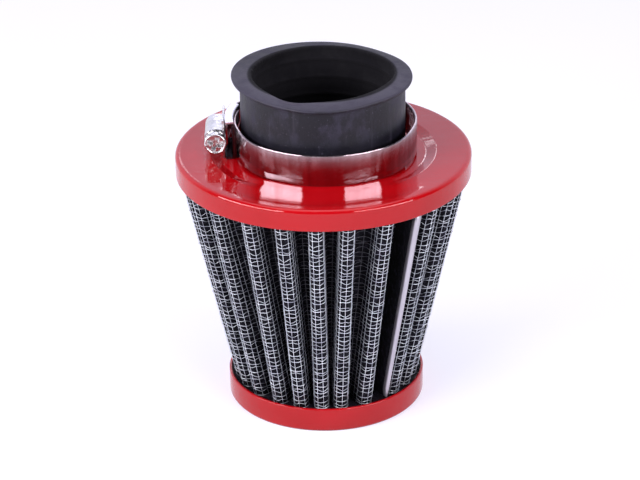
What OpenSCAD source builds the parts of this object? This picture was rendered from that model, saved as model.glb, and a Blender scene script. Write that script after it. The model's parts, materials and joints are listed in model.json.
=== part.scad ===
// Cone air filter: a pleated cone between two pressed steel ends, a rubber neck, and a worm-drive clamp.
// Millimetres, +Z up. The origin is the centre of the end cap's flat bottom.

/* [Neck] */
// Radius of the pipe bore in the rubber neck
neck_bore_r = 19; // [16:0.5:24]
// Wall of the rubber neck
neck_wall = 3; // [2.25:0.25:4]
// Height of the neck above the floor of the top plate
neck_h = 22.7; // [20:0.1:36]
// How far the lip stands out from the neck
lip_out = 1.7; // [1:0.1:3]
// Thickness of the lip
lip_t = 1.4; // [1:0.1:2.5]
// How deep the plate's edge sits in the neck's groove
groove_deep = 1; // [0.5:0.1:1.5]
// How far the flange under the plate stands out from the neck
flange_out = 4; // [2:0.5:5]
// Number of grip ribs round the bore
rib_n = 3; // [1:1:3]
// Depth of the first rib below the lip
rib_first = 3.7; // [3:0.1:5]
// Distance from one rib to the next
rib_pitch = 5.05; // [3:0.05:5.5]
// Width of a rib
rib_w = 0.6; // [0.4:0.1:1.2]
// Depth of the relief between the ribs
rib_relief = 0.3; // [0.1:0.05:0.5]

/* [Top plate] */
// Thickness of the plate's sheet
plate_sheet = 0.7; // [0.5:0.1:1]
// Height of the plate's skirt
skirt_h = 5.95; // [5.5:0.05:8]
// Depth of the sunk floor round the neck
dish_deep = 0.8; // [0.4:0.1:1.2]
// Room on the sunk floor outside the clamp's channel
dish_room = 1.19; // [0.8:0.01:2]
// Width of the slope up from the sunk floor
dish_slope_w = 2.8; // [1.5:0.1:3.5]
// Width of the flat brim outside the slope
brim_w = 9.45; // [8:0.05:16]
// Radius of the plate's outer edge
plate_edge_r = 1.1; // [1:0.1:2]

/* [End cap] */
// Outer radius of the end cap
cap_r = 26.85; // [25.6:0.05:32]
// Height of the end cap
cap_h = 6.95; // [6.5:0.05:10]
// Thickness of the cap's sheet
cap_sheet = 0.8; // [0.5:0.1:1]
// Radius of the cap's bottom edge
cap_edge_r = 1.1; // [1:0.1:2]

/* [Sealant] */
// Depth of sealant in the end cap
lower_seal_t = 4.9; // [3:0.1:5.2]
// Depth of sealant under the plate's sunk floor
upper_seal_t = 3.6; // [2.5:0.1:4.5]
// How far the neck's flange stays inside the sealant's face
flange_lift = 0.4; // [0.2:0.1:1]

/* [Pleated pack] */
// Length of the pack between the sealants
pack_h = 61.2; // [40:0.2:90]
// Number of crests
pleats = 23; // [15:1:24]
// Depth of a pleat from crest to inner fold
pleat_deep = 9; // [7:0.25:9.75]
// Radius of the crest fold at the middle of the media
fold_r = 1.25; // [1.1:0.05:1.35]
// Thickness of the filter media
media_t = 1; // [0.6:0.1:1.2]
// Thickness of each wire mesh
mesh_t = 0.3; // [0.15:0.05:0.35]
// Gap between a mesh and the media
layer_gap = 0.05; // [0.03:0.01:0.08]
// Gap between the pack's foot and the end cap's wall
foot_gap = 0.9; // [0.3:0.1:1]
// Gap between the pack's head and the plate's skirt
head_gap = 0.15; // [0.1:0.05:0.6]

/* [Outer mesh] */
// Rows of windows up each crest
window_rows = 5; // [3:1:5]
// Height of a window
window_h = 6.8; // [4:0.2:7.2]
// Ridges across the bar between two windows
bar_ridges = 2; // [1:1:2]
// How far a ridge stands out
ridge_rise = 0.2; // [0.1:0.05:0.3]

/* [Seam] */
// Turn of the seam about the axis, in degrees
seam_turn = -50; // [-180:5:180]
// Turn from the crest before the seam to the seam
seam_before = 14; // [12:0.5:18]
// Turn from the seam to the crest after it
seam_after = 9.5; // [9.5:0.5:18]
// Width of the clip at its foot
clip_foot_w = 1.3; // [1.1:0.1:1.5]
// Width of the clip at its head
clip_head_w = 1.9; // [1.4:0.1:2.4]
// Sheet left on each side of the clip's fold, as a share of its width
clip_leg = 0.35; // [0.25:0.01:0.4]
// Gap between the clip and the floor that it stands on
clip_seat = 0.2; // [0.1:0.05:0.3]
// Gap from the clip's ends to the end cap and to the skirt
clip_end_gap = 0.3; // [0.1:0.1:1]

/* [Clamp band] */
// Room between the neck and the open band
band_room = 1.87; // [1.5:0.01:3]
// Thickness of the band
band_t = 0.6; // [0.4:0.05:0.7]
// Width of the band
band_w = 9; // [8:0.5:9.5]
// How far the open band sits to one side on the neck
band_shift = 0.66; // [0:0.01:1]
// Angle at which the band's fixed end lies
band_start = 165; // [163:1:168]
// Turn of the band from its fixed end to where its tail starts to rise
rise_from = 325; // [315:1:330]
// Turn of the band over which its tail rises on to the saddle
rise_turn = 30; // [25:1:32]
// Turn from the fixed end to the tail's tip
band_turn = 375; // [372:1:378]
// Distance between the slots that the screw bites
slot_pitch = 1.6; // [1.4:0.1:2]
// Width of a slot
slot_w = 0.8; // [0.6:0.1:1]
// Length of a slot
slot_h = 4.8; // [3:0.1:5.5]
// Slant of the slots
slot_slant = 8; // [0:1:12]

/* [Clamp housing] */
// Sheet of the saddle and the housing
clamp_sheet = 0.6; // [0.4:0.05:0.7]
// Depth of the saddle's channel, outside
channel_deep = 2.5; // [2.4:0.05:2.8]
// Play of the band in the saddle's channel
channel_play = 0.5; // [0.2:0.1:0.8]
// Distance that the saddle reaches in front of the neck's centre line
saddle_front = 4.2; // [4:0.1:5]
// Distance that the saddle reaches behind the neck's centre line
saddle_back = 8; // [7.5:0.1:9]
// Length of the housing
housing_len = 10.6; // [9:0.1:11]
// Radius of the tunnel for the worm
tunnel_r = 2.6; // [2.4:0.05:2.8]
// Wall of the tunnel
tunnel_wall = 0.4; // [0.3:0.05:0.6]
// Distance from the housing's brim out to the screw's axis
screw_rise = 2.35; // [2:0.05:2.6]

/* [Clamp screw] */
// Radius of the screw's head
head_r = 2.9; // [2.5:0.1:3.5]
// Thickness of the screw's head
head_t = 2.2; // [1.8:0.1:3]
// Radius of the shank in the housing's end wall
shank_r = 1.7; // [1.4:0.05:1.9]
// Radial clearance of the shank in its hole
shank_play = 0.08; // [0.05:0.01:0.1]
// Radial gap between the worm and its tunnel
worm_gap = 0.3; // [0.25:0.05:0.4]
// Gap between the head and the housing's end wall
head_gap_y = 1; // [0.4:0.1:1.5]
// Width of the cross recess
cross_w = 0.8; // [0.5:0.1:1]
// Span of the cross recess
cross_span = 3.6; // [2.5:0.1:4]

/* [Hidden] */
$fn = 96;
fillet_steps = 5;

// Heights, from the end cap up
foot_z = cap_sheet + lower_seal_t;
head_z = foot_z + pack_h;
floor_under = head_z + upper_seal_t;
floor_top = floor_under + plate_sheet;
plate_top = floor_top + dish_deep;
skirt_foot = plate_top - skirt_h;
neck_top = floor_top + neck_h;
flange_foot = head_z + flange_lift;

// Radii of the neck, the clamp round it, the plate that takes the clamp on its sunk floor, and the cap
neck_r = neck_bore_r + neck_wall;
hole_r = neck_r - groove_deep;
flange_r = neck_r + flange_out;
lip_r = neck_r + lip_out;
band_in_r = neck_r + band_room;
ring_out_r = band_in_r + band_t;
channel_r = ring_out_r + channel_deep;
brim_x = band_shift - channel_r;
dish_r = dish_room - brim_x;
crease_r = dish_r + dish_slope_w;
top_r = crease_r + brim_w;
skirt_in_r = top_r - plate_sheet;
cap_in_r = cap_r - cap_sheet;

// Pack: half its whole thickness, its crest radius at both ends, and the turn between crests
half_pack = media_t / 2 + layer_gap + mesh_t;
crest_foot_r = cap_in_r - foot_gap;
crest_head_r = skirt_in_r - head_gap;
pleat_turn = (360 - seam_before - seam_after) / (pleats - 1);
clip_deep = pleat_deep - 2 * half_pack - clip_seat;

// Rows up a crest, each a height and a lift: of a plain wall, and of the outer mesh's two faces
bar_h = (pack_h - window_rows * window_h) / (window_rows + 1);
bar_rows = 2 * bar_ridges + 1;
plain_rows = [[0, 0], [pack_h, 0]];
edge_rows = [for (b = [0:window_rows], i = [0:1]) [b * (bar_h + window_h) + bar_h * i, 0]];
ridge_rows = [for (b = [0:window_rows], i = [0:bar_rows - 1])
    [b * (bar_h + window_h) + bar_h * i / (bar_rows - 1), i % 2 * ridge_rise]];

// Clamp: the saddle stands on the plate's floor, and the band lies on the channel's lower flange
saddle_h = band_w + channel_play + 2 * clamp_sheet;
band_z = floor_top + clamp_sheet + layer_gap;
tail_out_r = channel_r - 0.15;
screw_x = brim_x - screw_rise;
screw_z = floor_top + saddle_h / 2;
housing_front = saddle_front - clamp_sheet;
worm_r = tunnel_r - worm_gap;
shank_hole_r = shank_r + shank_play;

// Points along an arc in a profile, from one angle to another
function arc(x, z, r, from, to) = [
    for (i = [0:fillet_steps])
        let (a = from + (to - from) * i / fillet_steps) [x + r * cos(a), z + r * sin(a)]
];

// Crest radius of the pack at a height above its foot
function crest_r(h) = crest_foot_r + (crest_head_r - crest_foot_r) * h / pack_h;

// Radius of the valley fold that leaves the flanks of the pleats parallel
function valley_fold_r(h) =
    ((crest_r(h) - pleat_deep + half_pack) * sin(pleat_turn / 2) - fold_r) / (1 - sin(pleat_turn / 2));

// A point beside a radius of the pack, out along it and across it, at a height above the pack's foot
function beside(turn, h, out, across) =
    [out * cos(turn) - across * sin(turn), out * sin(turn) + across * cos(turn), foot_z + h];

// Five points over a crest, offset outward from the middle of the media, the middle three lifted
function crest_row(turn, h, off, lift) = [
    for (a = [-90:45:90])
        let (r = fold_r + off + (abs(a) < 90 ? lift : 0))
        beside(turn, h, crest_r(h) - fold_r - half_pack + r * cos(a), r * sin(a))
];

// Three points round the valley after a crest
function valley_row(turn, h, off) = [
    for (a = [-90:90:90])
        let (fold = valley_fold_r(h), r = fold - off)
        beside(turn + pleat_turn / 2, h, crest_r(h) - pleat_deep + half_pack + fold - r * cos(a), r * sin(a))
];

// Three points across the seam's floor, from the flank of the crest before it to that of the crest after it
function seam_row(h, off) =
    let (r = crest_r(h) - pleat_deep + half_pack + off,
         from = beside(seam_turn - seam_before, h, r, fold_r + off),
         to = beside(seam_turn + seam_after, h, r, -fold_r - off))
    [from, (from + to) / 2, to];

// Points of one face of a pleated wall: for each crest its rows, then the fold after it at foot and head
function wall_points(off, rows) = [
    for (k = [0:pleats - 1])
        let (turn = seam_turn + seam_after + pleat_turn * k)
        each concat(
            [for (row = rows) each crest_row(turn, row[0], off, row[1])],
            [for (h = [0, pack_h]) each k < pleats - 1 ? valley_row(turn, h, off) : seam_row(h, off)]
        )
];

// Two triangles between four points, and triangles turned to face the other way
function quad(a, b, c, d) = [[a, b, c], [a, c, d]];
function flipped(faces) = [for (face = faces) [face[2], face[1], face[0]]];

// Triangles of one face of a pleated wall: crest cells less the windows, a flank, the fold, a flank
function wall_faces(start, row_n, rows_per_bar) = [
    for (k = [0:pleats - 1])
        let (crest = start + (5 * row_n + 6) * k, fold = crest + 5 * row_n,
             next = start + (5 * row_n + 6) * ((k + 1) % pleats))
        each concat(
            [for (j = [0:row_n - 2], c = [0:3]) let (i = crest + 5 * j + c)
                if ((j + 1) % rows_per_bar != 0 || c % 3 == 0) each quad(i, i + 5, i + 6, i + 1)],
            [for (j = [0:row_n - 2]) let (i = crest + 5 * j + 4) [i, i + 5, fold]],
            [[fold - 1, fold + 3, fold]],
            [for (i = [fold, fold + 1]) each quad(i, i + 3, i + 4, i + 1)],
            [[fold + 2, fold + 5, next]],
            [for (j = [0:row_n - 2]) let (i = next + 5 * j) [fold + 5, i + 5, i]]
        )
];

// Triangles of the walls of the windows, between the outer and the inner face
function window_faces(start) = [
    for (k = [0:pleats - 1], w = [1:window_rows])
        let (a = (5 * len(ridge_rows) + 6) * k + 5 * (bar_rows * w - 1),
             b = start + (5 * len(edge_rows) + 6) * k + 5 * (2 * w - 1))
        each concat(
            [for (c = [1:2]) each concat(
                quad(a + c + 1, a + c, b + c, b + c + 1), quad(a + c + 5, a + c + 6, b + c + 6, b + c + 5))],
            quad(a + 1, a + 6, b + 6, b + 1), quad(a + 8, a + 3, b + 3, b + 8)
        )
];

// Point numbers round the foot or the head of one face of a pleated wall
function rim(start, row_n, at_head) = [
    for (k = [0:pleats - 1]) let (crest = start + (5 * row_n + 6) * k) each concat(
        [for (c = [0:4]) crest + (at_head ? 5 * (row_n - 1) : 0) + c],
        [for (c = [0:2]) crest + 5 * row_n + (at_head ? 3 : 0) + c])
];

// A closed pleated wall between two offsets from the middle of the media, plain or open in windows
module pleated_wall(inner, outer, windows = false) {
    outer_rows = windows ? ridge_rows : plain_rows;
    inner_rows = windows ? edge_rows : plain_rows;
    outer_points = wall_points(outer, outer_rows);
    start = len(outer_points);
    foot = [rim(0, len(outer_rows), false), rim(start, len(inner_rows), false)];
    head = [rim(0, len(outer_rows), true), rim(start, len(inner_rows), true)];
    n = len(foot[0]);
    polyhedron(
        points = concat(outer_points, wall_points(inner, inner_rows)),
        faces = concat(
            wall_faces(0, len(outer_rows), windows ? bar_rows : 3),
            flipped(wall_faces(start, len(inner_rows), windows ? 2 : 3)),
            windows ? window_faces(start) : [],
            [for (i = [0:n - 1]) let (j = (i + 1) % n) each concat(
                quad(foot[0][i], foot[0][j], foot[1][j], foot[1][i]),
                quad(head[0][i], head[1][i], head[1][j], head[0][j]))]
        )
    );
}

// Moulded neck: lip at the top, groove round the plate's edge, flange in the sealant, ribbed bore
module rubber_neck() color([0.2, 0.19, 0.23]) difference() {
    lip_foot = neck_top - lip_t;
    edge = lip_t / 2 - 0.2;
    fillet = 0.8;
    rotate_extrude() polygon(concat(
        [[neck_bore_r, flange_foot], [flange_r, flange_foot], [flange_r, floor_under],
         [hole_r, floor_under], [hole_r, floor_top], [neck_r, floor_top]],
        arc(neck_r + fillet, lip_foot - fillet, fillet, 180, 90),
        arc(lip_r - edge, lip_foot + edge, edge, -90, 0),
        arc(lip_r - edge, neck_top - edge, edge, 0, 90),
        [[neck_bore_r + rib_relief, neck_top], [neck_bore_r, neck_top - rib_relief]]
    ));
    for (i = [0:rib_n]) {
        rib = rib_first + rib_pitch * i;
        from = rib - (i == 0 ? rib_first - 1.2 : rib_pitch - rib_w / 2);
        translate([0, 0, neck_top - rib + rib_w / 2]) rotate_extrude()
            translate([neck_bore_r - 0.5, 0]) square([0.5 + rib_relief, rib - rib_w / 2 - from]);
    }
}

// Pressed plate: a rolled outer edge with a skirt, and a sunk floor that the neck grips
module top_plate() color([0.78, 0.08, 0.09]) rotate_extrude() polygon(concat(
    [[hole_r, floor_under], [hole_r, floor_top], [dish_r, floor_top], [crease_r, plate_top]],
    arc(top_r - plate_edge_r, plate_top - plate_edge_r, plate_edge_r, 90, 0),
    [[top_r, skirt_foot], [skirt_in_r, skirt_foot]],
    arc(top_r - plate_edge_r, plate_top - plate_edge_r, plate_edge_r - plate_sheet, 0, 90),
    [[crease_r, plate_top - plate_sheet], [dish_r, floor_under]]
));

// Ring of sealant that fills the plate round the neck's flange and holds the pack's head
module upper_sealant() color([0.09, 0.08, 0.11]) rotate_extrude() polygon(concat(
    [[flange_r, head_z], [skirt_in_r, head_z]],
    arc(top_r - plate_edge_r, plate_top - plate_edge_r, plate_edge_r - plate_sheet, 0, 90),
    [[crease_r, plate_top - plate_sheet], [dish_r, floor_under], [flange_r, floor_under]]
));

// Wire mesh outside the media: rows of windows up its crests, with ridges across the bars between them
module outer_mesh() color([0.72, 0.72, 0.8])
    pleated_wall(media_t / 2 + layer_gap, half_pack, windows = true);

// Folded filter media
module filter_media() color([0.1, 0.1, 0.13])
    pleated_wall(-media_t / 2, media_t / 2);

// Wire mesh inside the media
module inner_mesh() color([0.6, 0.6, 0.66])
    pleated_wall(-half_pack, -media_t / 2 - layer_gap);

// A level slice of the seam clip: flat sides and a round nose
module clip_slice(z, w, nose) {
    translate([0, 0, z]) rotate(seam_turn) translate([crest_r(z - foot_z) - nose, 0]) linear_extrude(0.01) {
        translate([-clip_deep, -w / 2]) square([clip_deep - w / 2, w]);
        translate([-w / 2, 0]) circle(d = w, $fn = 24);
    }
}

// Strip folded lengthways over the two ends of the pack
module seam_clip() color([0.85, 0.84, 0.9]) difference() {
    clip_foot = cap_h + clip_end_gap;
    clip_head = skirt_foot - clip_end_gap;
    hull() {
        clip_slice(clip_foot, clip_foot_w, 0);
        clip_slice(clip_head, clip_head_w, 0);
    }
    hull() {
        clip_slice(clip_foot - 0.1, clip_foot_w * (1 - 2 * clip_leg), clip_leg);
        clip_slice(clip_head + 0.1, clip_head_w * (1 - 2 * clip_leg), clip_leg);
    }
}

// Sealant poured into the end cap, which holds the pack's foot and closes the cone
module lower_sealant() color([0.09, 0.08, 0.11]) rotate_extrude() polygon(concat(
    [[0, cap_sheet]],
    arc(cap_r - cap_edge_r, cap_edge_r, cap_edge_r - cap_sheet, -90, 0),
    [[cap_in_r, foot_z], [0, foot_z]]
));

// Pressed pan that closes the narrow end
module end_cap() color([0.8, 0.11, 0.14]) rotate_extrude() polygon(concat(
    [[0, 0]],
    arc(cap_r - cap_edge_r, cap_edge_r, cap_edge_r, -90, 0),
    [[cap_r, cap_h], [cap_in_r, cap_h]],
    arc(cap_r - cap_edge_r, cap_edge_r, cap_edge_r - cap_sheet, 0, -90),
    [[0, cap_sheet]]
));

// How far the band has risen from ring to tail at a turn from its fixed end, eased at both ends
function risen(turn) =
    let (s = min(max((turn - rise_from) / rise_turn, 0), 1)) s * s * (3 - 2 * s);

// Inner radius of the band at a turn from its fixed end
function band_r(turn) = band_in_r + risen(turn) * (tail_out_r - band_t - band_in_r);

// One strip wound once round the neck, with its slotted tail over its own fixed end
module clamp_band() color([0.7, 0.69, 0.72]) translate([band_shift, 0, band_z]) difference() {
    turns = [for (t = [0:3:band_turn]) t];
    slot_turn = slot_pitch / tail_out_r * 180 / PI;
    linear_extrude(band_w) polygon(concat(
        [for (t = turns) (band_r(t) + band_t) * [cos(band_start + t), sin(band_start + t)]],
        [for (i = [len(turns) - 1:-1:0])
            band_r(turns[i]) * [cos(band_start + turns[i]), sin(band_start + turns[i])]]
    ));
    for (t = [band_turn - slot_turn:-slot_turn:rise_from])
        rotate(band_start + t) translate([band_r(t) + band_t / 2, 0, band_w / 2])
            rotate([slot_slant, 0, 0]) cube([band_t + 1, slot_w, slot_h], center = true);
}

// Channel on the band's fixed end that guides the tail
module clamp_saddle() color([0.66, 0.65, 0.68]) {
    front = asin(saddle_front / ring_out_r);
    back = asin(saddle_back / ring_out_r);
    translate([band_shift, 0, floor_top]) rotate(180 - back)
        rotate_extrude(angle = front + back) polygon([
            [ring_out_r, 0], [channel_r, 0], [channel_r, clamp_sheet], [ring_out_r + clamp_sheet, clamp_sheet],
            [ring_out_r + clamp_sheet, saddle_h - clamp_sheet], [channel_r, saddle_h - clamp_sheet],
            [channel_r, saddle_h], [ring_out_r, saddle_h]
        ]);
}

// Tunnel over the worm, open towards the band, with a brim on the channel's edges and an end wall
module clamp_housing() color([0.8, 0.8, 0.83]) {
    wide = tunnel_r + tunnel_wall;
    translate([screw_x, housing_len - housing_front, screw_z]) rotate([90, 0, 0]) {
        linear_extrude(housing_len) difference() {
            union() {
                circle(wide);
                translate([0, -wide]) square([screw_rise, 2 * wide]);
                translate([screw_rise - clamp_sheet, -saddle_h / 2]) square([clamp_sheet, saddle_h]);
            }
            circle(tunnel_r);
            translate([0, -tunnel_r]) square([wide + 1, 2 * tunnel_r]);
        }
        translate([0, 0, housing_len - clamp_sheet]) linear_extrude(clamp_sheet) difference() {
            intersection() {
                circle(tunnel_r + tunnel_wall / 2);
                translate([-wide, -wide]) square([wide + screw_rise - 0.1, 2 * wide]);
            }
            circle(shank_hole_r);
        }
    }
}

// Screw held by the housing's end wall between its head and its worm
module clamp_screw() color([0.86, 0.86, 0.88]) {
    worm_front = clamp_sheet + 0.2;
    recess = 0.6;
    translate([screw_x, -housing_front, screw_z]) rotate([-90, 0, 0]) difference() {
        union() {
            translate([0, 0, -head_gap_y - head_t]) cylinder(r = head_r, h = head_t);
            translate([0, 0, -head_gap_y]) cylinder(r = shank_r, h = head_gap_y + worm_front);
            translate([0, 0, worm_front]) cylinder(r = worm_r, h = housing_len - worm_front - 0.4);
        }
        translate([0, 0, -head_gap_y - head_t - 0.1]) cylinder(r = head_r - recess, h = recess + 0.1);
        for (turn = [20, 110]) rotate(turn)
            translate([-cross_span / 2, -cross_w / 2, -head_gap_y - head_t])
                cube([cross_span, cross_w, head_t * 0.7]);
    }
}

rubber_neck();
top_plate();
upper_sealant();
outer_mesh();
filter_media();
inner_mesh();
seam_clip();
lower_sealant();
end_cap();
clamp_band();
clamp_saddle();
clamp_housing();
clamp_screw();
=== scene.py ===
"""Looks of a cone air filter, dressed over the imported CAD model.

Lengths are in millimetres in this script and become metres when a mesh is made.
Turns are in degrees about +Z, from +X towards +Y; the camera stands at a turn of -90.
"""
import json
import math

import bmesh
import bpy
import numpy as np
from mathutils import Matrix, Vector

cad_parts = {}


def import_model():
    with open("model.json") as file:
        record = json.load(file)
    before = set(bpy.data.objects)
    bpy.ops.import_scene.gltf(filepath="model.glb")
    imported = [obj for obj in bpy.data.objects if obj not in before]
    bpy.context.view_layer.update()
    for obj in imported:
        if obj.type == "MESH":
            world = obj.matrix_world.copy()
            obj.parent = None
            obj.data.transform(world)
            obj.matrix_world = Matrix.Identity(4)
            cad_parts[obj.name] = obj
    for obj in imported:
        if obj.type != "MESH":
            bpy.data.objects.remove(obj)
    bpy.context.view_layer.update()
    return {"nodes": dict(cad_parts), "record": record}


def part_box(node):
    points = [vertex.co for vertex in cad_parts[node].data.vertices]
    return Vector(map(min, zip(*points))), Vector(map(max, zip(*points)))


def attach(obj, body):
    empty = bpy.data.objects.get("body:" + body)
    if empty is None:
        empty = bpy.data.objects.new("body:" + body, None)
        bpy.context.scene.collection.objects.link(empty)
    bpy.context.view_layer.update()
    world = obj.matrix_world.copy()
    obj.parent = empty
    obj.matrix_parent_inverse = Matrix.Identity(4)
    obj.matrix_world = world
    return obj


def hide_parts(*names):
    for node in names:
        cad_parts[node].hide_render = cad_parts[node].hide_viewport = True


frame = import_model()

MM = 0.001
rng = np.random.default_rng(38)


# Sizes, taken from the CAD nodes where they show them

def node_box(node):
    """Lowest and highest corner of a CAD node, in millimetres."""
    low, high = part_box(node)
    return np.array(low) / MM, np.array(high) / MM


NECK_TOP = node_box("rubber_neck")[1][2]
NECK_FOOT = node_box("rubber_neck")[0][2]
PLATE_R = node_box("top_plate")[1][0]
PLATE_TOP = node_box("top_plate")[1][2]
SKIRT_FOOT = node_box("top_plate")[0][2]
CAP_R = node_box("end_cap")[1][0]
CAP_H = node_box("end_cap")[1][2]
PACK_FOOT = node_box("filter_media")[0][2]
PACK_HEAD = node_box("filter_media")[1][2]
BAND_FOOT = node_box("clamp_band")[0][2]
BAND_HEAD = node_box("clamp_band")[1][2]
SADDLE_FOOT = node_box("clamp_saddle")[0][2]
SADDLE_HEAD = node_box("clamp_saddle")[1][2]
SCREW_FRONT = node_box("clamp_screw")[0][1]
SCREW_BACK = node_box("clamp_screw")[1][1]
SCREW_X, SCREW_Z = (node_box("clamp_screw")[0] + node_box("clamp_screw")[1])[[0, 2]] / 2

BORE_R = frame["record"]["mounts"][0]["dims"]["r_mm"]
NECK_R = BORE_R + 3.0
LIP_R = NECK_R + 1.7
LIP_T = 1.4
PLATE_SHEET = 0.7
DISH_DEEP = 0.8
FLOOR_TOP = PLATE_TOP - DISH_DEEP
DISH_R = NECK_R + 5.5
CREASE_R = DISH_R + 2.8
CAP_SHEET = 0.8

MEDIA_T = 1.0
LAYER_GAP = 0.05
WIRE_SHEET = 0.3
HALF_PACK = MEDIA_T / 2 + LAYER_GAP + WIRE_SHEET
PLEAT_DEEP = 9.0
FOLD_R = 1.25
CREST_FOOT_R = CAP_R - CAP_SHEET - 0.9
CREST_HEAD_R = PLATE_R - PLATE_SHEET - 0.15
SEAM_TURN = -50.0


# Meshes

def make_piece(name, points, faces, finish, replaces, body="filter"):
    """A smooth mesh object from points in millimetres and rows of corner numbers, one row to a face."""
    mesh = bpy.data.meshes.new(name)
    points = np.asarray(points, float).reshape(-1, 3) * MM
    groups = [np.asarray(group, np.int32) for group in faces if len(group)]
    corners = np.concatenate([group.ravel() for group in groups])
    sizes = np.concatenate([np.full(len(group), group.shape[1]) for group in groups])
    mesh.vertices.add(len(points))
    mesh.vertices.foreach_set("co", points.ravel())
    mesh.loops.add(len(corners))
    mesh.loops.foreach_set("vertex_index", corners)
    mesh.polygons.add(len(sizes))
    mesh.polygons.foreach_set("loop_start", np.concatenate([[0], np.cumsum(sizes)[:-1]]).astype(np.int32))
    mesh.update(calc_edges=True)
    mesh.validate()
    mesh.polygons.foreach_set("use_smooth", np.ones(len(mesh.polygons), bool))
    piece = bpy.data.objects.new(name, mesh)
    bpy.context.scene.collection.objects.link(piece)
    mesh.materials.append(finish.material)
    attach(piece, body)
    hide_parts(*replaces)
    return piece


def sharpen(piece, degrees=40):
    """Marks the edges that turn by more than an angle as sharp, so that a smooth face keeps its corners."""
    mesh = bmesh.new()
    mesh.from_mesh(piece.data)
    for edge in mesh.edges:
        edge.smooth = edge.calc_face_angle(0) < math.radians(degrees)
    mesh.to_mesh(piece.data)
    mesh.free()


def grid_faces(rows, columns, wrap_rows=False):
    """Four-cornered faces of a grid whose points run along columns first, and whose last column joins the
    first. They face outwards where rows climb while columns turn anticlockwise about +Z."""
    row = np.arange(rows if wrap_rows else rows - 1)[:, None]
    column = np.arange(columns)[None, :]
    next_row, next_column = (row + 1) % rows, (column + 1) % columns
    a, b = row * columns + column, row * columns + next_column
    c, d = next_row * columns + next_column, next_row * columns + column
    return np.stack([a, b, c, d], axis=-1).reshape(-1, 4)


def capped_faces(rows, columns):
    """Faces of a grid whose first and last row are each closed by one face."""
    row = np.arange(columns)[None, :]
    return [grid_faces(rows, columns), row[:, ::-1], (rows - 1) * columns + row]


def poled_faces(rows, columns):
    """Faces of a grid whose first and last row are closed by fans, to two poles that follow its points."""
    column = np.arange(columns)
    ahead = (column + 1) % columns
    last = (rows - 1) * columns
    low, high = np.full(columns, rows * columns), np.full(columns, rows * columns + 1)
    fans = np.concatenate([
        np.stack([ahead, column, low], axis=-1),
        np.stack([last + column, last + ahead, high], axis=-1),
    ])
    return [grid_faces(rows, columns), fans]


def rounded(corners, steps=6):
    """A profile from corners (x, y, fillet radius): each corner becomes an arc tangent to both its sides."""
    corners = np.asarray(corners, float)
    profile = []
    for i, (x, y, radius) in enumerate(corners):
        here = np.array([x, y])
        if radius <= 0:
            profile.append(here)
            continue
        back = corners[i - 1][:2] - here
        ahead = corners[(i + 1) % len(corners)][:2] - here
        back, ahead = back / np.linalg.norm(back), ahead / np.linalg.norm(ahead)
        half = math.acos(np.clip(back @ ahead, -1, 1)) / 2
        middle = (back + ahead) / np.linalg.norm(back + ahead)
        centre = here + middle * radius / math.sin(half)
        start = here + back * radius / math.tan(half) - centre
        end = here + ahead * radius / math.tan(half) - centre
        sweep = math.atan2(start[0] * end[1] - start[1] * end[0], start @ end)
        for t in np.linspace(0, sweep, steps + 1):
            c, s = math.cos(t), math.sin(t)
            profile.append(centre + [c * start[0] - s * start[1], s * start[0] + c * start[1]])
    return np.array(profile)


def spread(profile, longest):
    """The closed profile with points added so that no side is longer than a length."""
    out = []
    for a, b in zip(profile, np.roll(profile, -1, axis=0)):
        count = max(1, int(np.ceil(np.linalg.norm(b - a) / longest)))
        out.extend(a + (b - a) * t for t in np.arange(count) / count)
    return np.array(out)


def turned(profile, columns):
    """A profile of (radius, height) turned about +Z: a grid of rows along the profile."""
    turn = np.linspace(0, 2 * np.pi, columns, endpoint=False)
    r, z = profile[:, :1], profile[:, 1:]
    return np.stack([r * np.cos(turn), r * np.sin(turn), z + 0 * turn], axis=-1)


def turned_ring(profile, columns=360):
    """Points and faces of a closed ring, whose profile runs anticlockwise seen with radius to the right."""
    return turned(profile, columns), [grid_faces(len(profile), columns, wrap_rows=True)]


def turned_disc(profile, columns=192):
    """Points and faces of a body whose profile starts and ends on the axis, with a fan at each pole."""
    grid = turned(profile[1:-1], columns)
    poles = np.array([[0, 0, profile[0][1]], [0, 0, profile[-1][1]]])
    return np.concatenate([grid.reshape(-1, 3), poles]), poled_faces(len(profile) - 2, columns)


def polar(grid):
    """Turn in degrees and radius of each point of a grid."""
    return np.degrees(np.arctan2(grid[..., 1], grid[..., 0])), np.hypot(grid[..., 0], grid[..., 1])


def bends(turn, rows):
    """Sum of smooth bumps round the circle, each given by its size, its turn and its width in degrees."""
    total = 0
    for size, centre, width in rows:
        away = (turn - centre + 180) % 360 - 180
        total = total + size * np.exp(-(away / width) ** 2)
    return total


def eased(share):
    """Zero below 0, one above 1, eased between them."""
    share = np.clip(share, 0, 1)
    return share * share * (3 - 2 * share)


def in_front(turn, half, fade):
    """One round the front of the circle, at a turn of -90, eased to zero at half a width in degrees."""
    away = np.abs((turn + 270) % 360 - 180)
    return eased((half - away) / fade)


def sheet_wall(outer, inner, keep):
    """Points and faces of a wall between two grids of the same shape, open at both ends. Only the cells
    in keep are there, and a wall closes every edge between a kept cell and a missing one."""
    rows, columns = keep.shape
    wide = columns + 1
    points = np.concatenate([outer.reshape(-1, 3), inner.reshape(-1, 3)])
    shift = (rows + 1) * wide
    row, column = np.nonzero(keep)
    a = row * wide + column
    front = np.stack([a, a + 1, a + wide + 1, a + wide], axis=-1)
    faces = [front, front[:, ::-1] + shift]
    framed = np.pad(keep, 1)
    for d_row, d_column, first, second in ((-1, 0, 0, 1), (1, 0, 2, 3), (0, -1, 3, 0), (0, 1, 1, 2)):
        bare = ~framed[row + 1 + d_row, column + 1 + d_column]
        p, q = front[bare, first], front[bare, second]
        faces.append(np.stack([p, p + shift, q + shift, q], axis=-1))
    return points, faces


WIRE_SIDES = 4


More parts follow.
